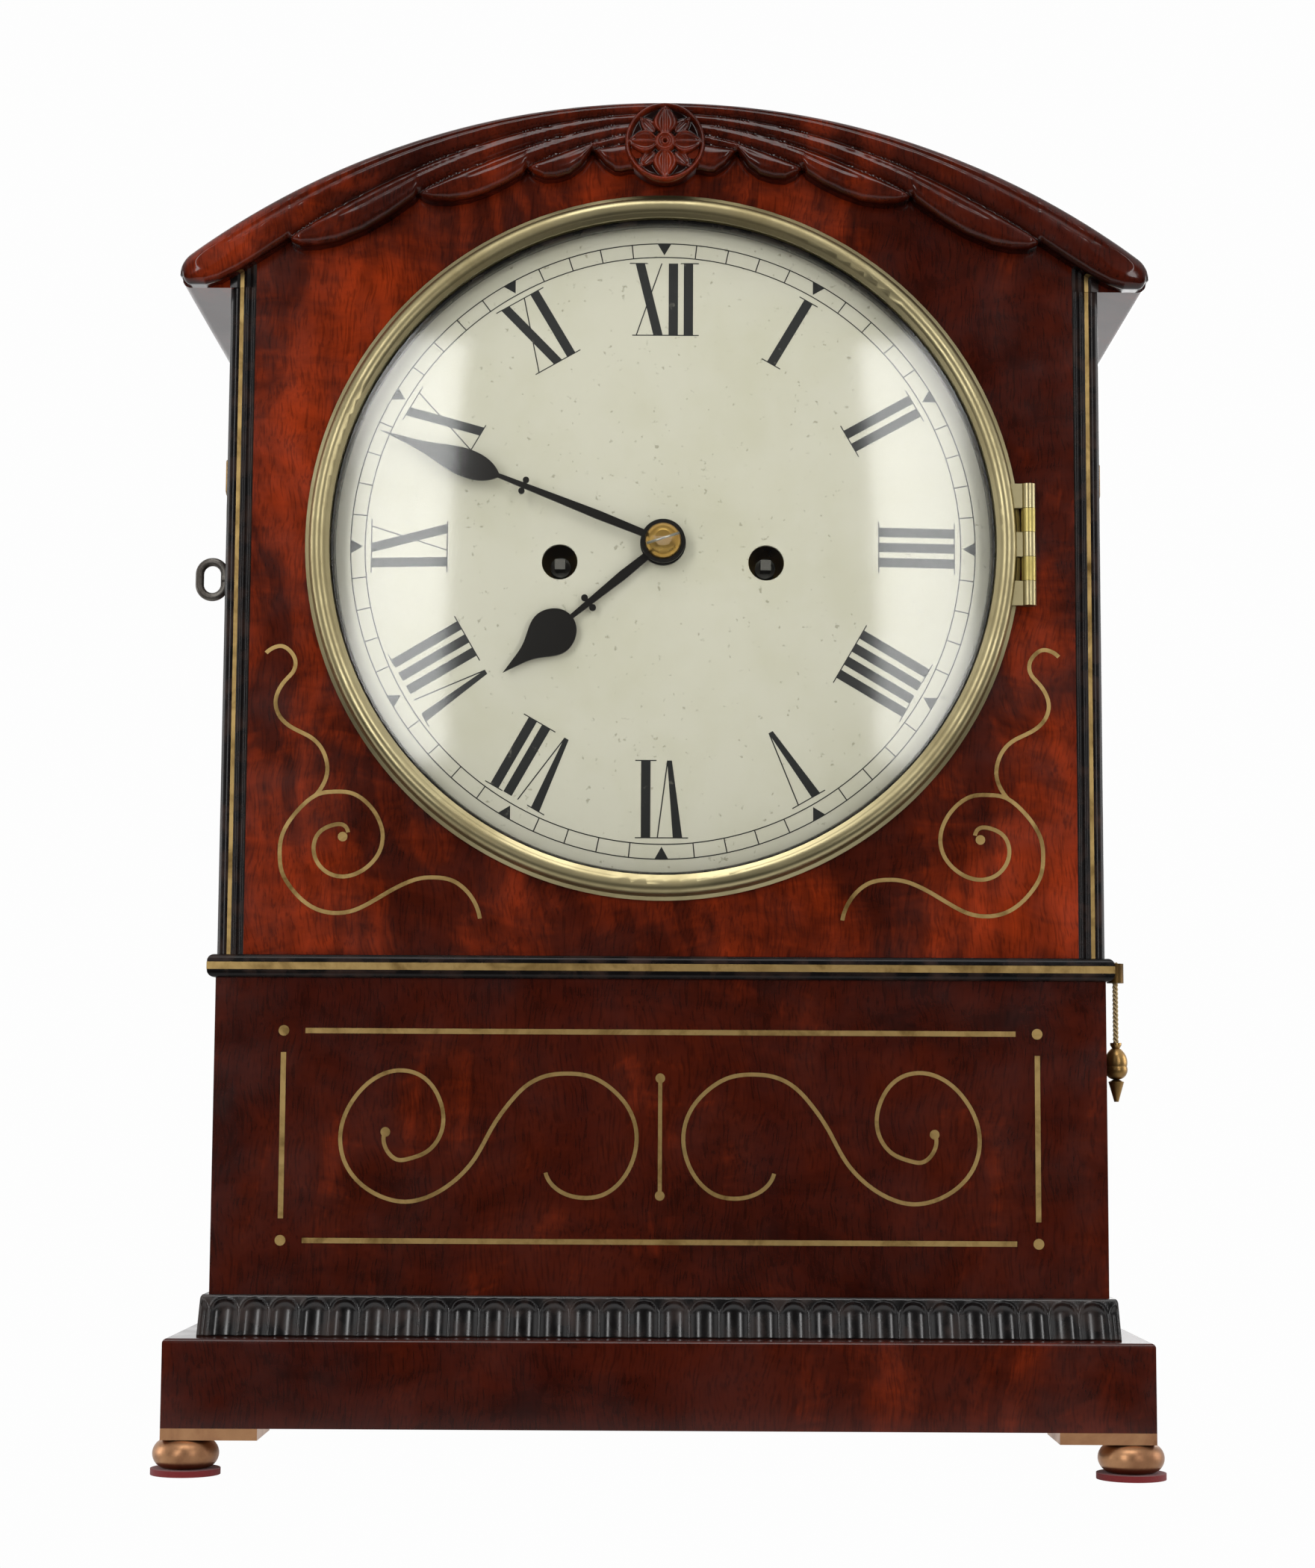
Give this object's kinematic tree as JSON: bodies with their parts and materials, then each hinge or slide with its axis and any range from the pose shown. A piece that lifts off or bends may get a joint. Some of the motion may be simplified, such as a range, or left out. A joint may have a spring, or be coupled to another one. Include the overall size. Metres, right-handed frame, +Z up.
{
  "type": "bracket clock",
  "caption": "Arched mahogany bracket clock: brass inlay, hinged convex-glass bezel, painted dial, ring handles, ball feet, pull repeat and a striking movement behind a glazed back door",
  "frame": {"origin": "on the table, under the middle of the plinth", "axes": "X to the viewer's right, Y from the dial to the back, Z up"},
  "size_m": [0.2996, 0.1872, 0.4177],
  "materials": {
    "ebonised": "ebonised, worn satin",
    "mahogany": "figured mahogany, polished",
    "back_wood": "plain mahogany, matt",
    "aged_brass": "aged, rubbed",
    "inlay_brass": "flush inlay, rubbed",
    "clock_brass": "polished plate",
    "steel": "polished",
    "bell_metal": "turned bell metal",
    "blued_steel": "blued",
    "painted_dial": "cream enamel paint, crazed",
    "glass": "clear",
    "felt": "red felt",
    "cord": "twisted cord"
  },
  "bodies": {
    "case": {"fluted_moulding": "ebonised", "waist_moulding": "ebonised", "corner_mouldings": "ebonised", "plinth": "mahogany", "pediment": "mahogany", "case_side_left": "mahogany", "case_side_right": "mahogany", "case_front_panel": "mahogany", "base_carcass": "mahogany", "base_front_panel": "mahogany", "roof_shell": "mahogany", "case_back_frame": "back_wood", "seatboard": "back_wood", "ball_feet": "aged_brass", "handle_bosses": "aged_brass", "bezel_hinge": "aged_brass", "cord_guide": "aged_brass", "base_inlay": "inlay_brass", "panel_scrolls": "inlay_brass", "case_stringing": "inlay_brass", "front_plate": "clock_brass", "back_plate": "clock_brass", "back_cock": "clock_brass", "lock_body": "clock_brass", "barrel_arbors": "steel", "bell_stand": "steel", "back_door_pins": "steel", "bell": "bell_metal", "dial_plate": "painted_dial", "foot_pads": "felt"},
    "bezel_door": {"bezel": "aged_brass", "bezel_glass": "glass"},
    "back_door": {"back_door_frame": "back_wood", "back_door_glass": "glass"},
    "door_button": {"back_door_button": "aged_brass"},
    "ring_left": {"handle_ring_left": "aged_brass"},
    "ring_right": {"handle_ring_right": "aged_brass"},
    "door_key": {"key": "steel"},
    "door_bolt": {"lock_bolt": "steel"},
    "repeat_line": {"repeat_pull": "aged_brass", "repeat_cord": "cord"},
    "minute_hand_set": {"minute_hand": "blued_steel", "hand_collet": "aged_brass", "cannon_pinion": "clock_brass"},
    "minute_work": {"minute_wheel": "clock_brass"},
    "hour_hand_set": {"hour_hand": "blued_steel", "hour_wheel": "clock_brass"},
    "going_barrel_set": {"going_barrel": "clock_brass"},
    "going_fusee_set": {"going_fusee": "clock_brass"},
    "centre_set": {"centre_wheel": "clock_brass"},
    "third_set": {"third_wheel": "clock_brass"},
    "escape_set": {"escape_wheel": "clock_brass"},
    "pallet_set": {"pallets": "steel"},
    "pendulum_set": {"pendulum": "clock_brass"},
    "strike_barrel_set": {"strike_barrel": "clock_brass"},
    "strike_fusee_set": {"strike_fusee": "clock_brass"},
    "pin_wheel_set": {"pin_wheel": "clock_brass"},
    "fly_set": {"fly": "clock_brass"},
    "hammer_set": {"hammer": "steel"}
  },
  "joints": [
    {"name": "bezel_hinge_turn", "type": "hinge", "parent": "case", "child": "bezel_door", "pos_m": [0.1119, -0.0807, 0.2798], "axis": [0, 0, 1], "range_deg": [0, 110]},
    {"name": "back_door_turn", "type": "hinge", "parent": "case", "child": "back_door", "pos_m": [0.0836, 0.0838, 0.257], "axis": [0, 0, -1], "range_deg": [0, 90]},
    {"name": "door_button_turn", "type": "hinge", "parent": "case", "child": "door_button", "pos_m": [-0.097, 0.0878, 0.257], "axis": [0, 1, 0], "range_deg": [0, 90]},
    {"name": "ring_left_lift", "type": "hinge", "parent": "case", "child": "ring_left", "pos_m": [-0.1424, 0.0048, 0.3175], "axis": [0, 1, 0], "range_deg": [0, 85]},
    {"name": "ring_right_lift", "type": "hinge", "parent": "case", "child": "ring_right", "pos_m": [0.1424, 0.0048, 0.3175], "axis": [0, -1, 0], "range_deg": [0, 85]},
    {"name": "key_turn", "type": "hinge", "parent": "case", "child": "door_key", "pos_m": [-0.14, -0.0652, 0.2705], "axis": [1, 0, 0], "range_deg": [0, 90]},
    {"name": "bolt_slide", "type": "slide", "parent": "case", "child": "door_bolt", "axis": [1, 0, 0], "range_m": [0, 0.0055]},
    {"name": "repeat_draw", "type": "slide", "parent": "case", "child": "repeat_line", "axis": [0, 0, -1], "range_m": [0, 0.01], "stiffness_N_per_m": 60, "deforming": ["repeat_cord"]},
    {"name": "minute_hand_turn", "type": "hinge", "parent": "case", "child": "minute_hand_set", "pos_m": [0, -0.0842, 0.2798], "axis": [0, 1, 0], "continuous": true},
    {"name": "minute_work_turn", "type": "hinge", "parent": "case", "child": "minute_work", "pos_m": [0.0082, -0.0642, 0.2572], "axis": [0, 1, 0], "continuous": true},
    {"name": "hour_hand_turn", "type": "hinge", "parent": "case", "child": "hour_hand_set", "pos_m": [0, -0.0812, 0.2798], "axis": [0, 1, 0], "continuous": true},
    {"name": "escape_turn", "type": "hinge", "parent": "case", "child": "escape_set", "pos_m": [0, -0.0212, 0.3205], "axis": [0, 1, 0], "continuous": true},
    {"name": "third_turn", "type": "hinge", "parent": "case", "child": "third_set", "pos_m": [0.0125, -0.0212, 0.3015], "axis": [0, 1, 0], "continuous": true},
    {"name": "centre_turn", "type": "hinge", "parent": "case", "child": "centre_set", "pos_m": [0, -0.0212, 0.2798], "axis": [0, 1, 0], "continuous": true},
    {"name": "going_fusee_turn", "type": "hinge", "parent": "case", "child": "going_fusee_set", "pos_m": [0.0317, -0.0212, 0.2744], "axis": [0, 1, 0], "continuous": true},
    {"name": "going_barrel_turn", "type": "hinge", "parent": "case", "child": "going_barrel_set", "pos_m": [0.033, -0.0212, 0.212], "axis": [0, 1, 0], "continuous": true},
    {"name": "pendulum_swing", "type": "hinge", "parent": "case", "child": "pendulum_set", "pos_m": [0, 0.0293, 0.336], "axis": [0, 1, 0], "range_deg": [-3, 3]},
    {"name": "pallet_rock", "type": "hinge", "parent": "case", "child": "pallet_set", "pos_m": [0, -0.0212, 0.336], "axis": [0, 1, 0], "range_deg": [-3, 3]},
    {"name": "fly_turn", "type": "hinge", "parent": "case", "child": "fly_set", "pos_m": [-0.0284, -0.0212, 0.3217], "axis": [0, 1, 0], "continuous": true},
    {"name": "pin_wheel_turn", "type": "hinge", "parent": "case", "child": "pin_wheel_set", "pos_m": [-0.0234, -0.0212, 0.3055], "axis": [0, 1, 0], "continuous": true},
    {"name": "strike_fusee_turn", "type": "hinge", "parent": "case", "child": "strike_fusee_set", "pos_m": [-0.0317, -0.0212, 0.2744], "axis": [0, 1, 0], "continuous": true},
    {"name": "strike_barrel_turn", "type": "hinge", "parent": "case", "child": "strike_barrel_set", "pos_m": [-0.033, -0.0212, 0.212], "axis": [0, 1, 0], "continuous": true},
    {"name": "hammer_lift", "type": "hinge", "parent": "case", "child": "hammer_set", "pos_m": [-0.046, -0.0252, 0.3258], "axis": [0, -1, 0], "range_deg": [0, 10], "stiffness_Nm_per_rad": 0.02}
  ],
  "couplings": [
    {"joint": "key_turn", "follows": "bolt_slide", "rad_per_m": 285.59},
    {"joint": "minute_work_turn", "follows": "minute_hand_turn", "ratio": -1},
    {"joint": "hour_hand_turn", "follows": "minute_hand_turn", "ratio": 0.083333},
    {"joint": "third_turn", "follows": "escape_turn", "ratio": -0.083333},
    {"joint": "centre_turn", "follows": "escape_turn", "ratio": 0.0069444},
    {"joint": "going_fusee_turn", "follows": "escape_turn", "ratio": -0.0007716},
    {"joint": "going_barrel_turn", "follows": "escape_turn", "ratio": -0.00069444},
    {"joint": "pallet_rock", "follows": "pendulum_swing", "ratio": 1},
    {"joint": "pin_wheel_turn", "follows": "fly_turn", "ratio": -0.13333},
    {"joint": "strike_fusee_turn", "follows": "fly_turn", "ratio": 0.014815},
    {"joint": "strike_barrel_turn", "follows": "fly_turn", "ratio": 0.013333}
  ]
}
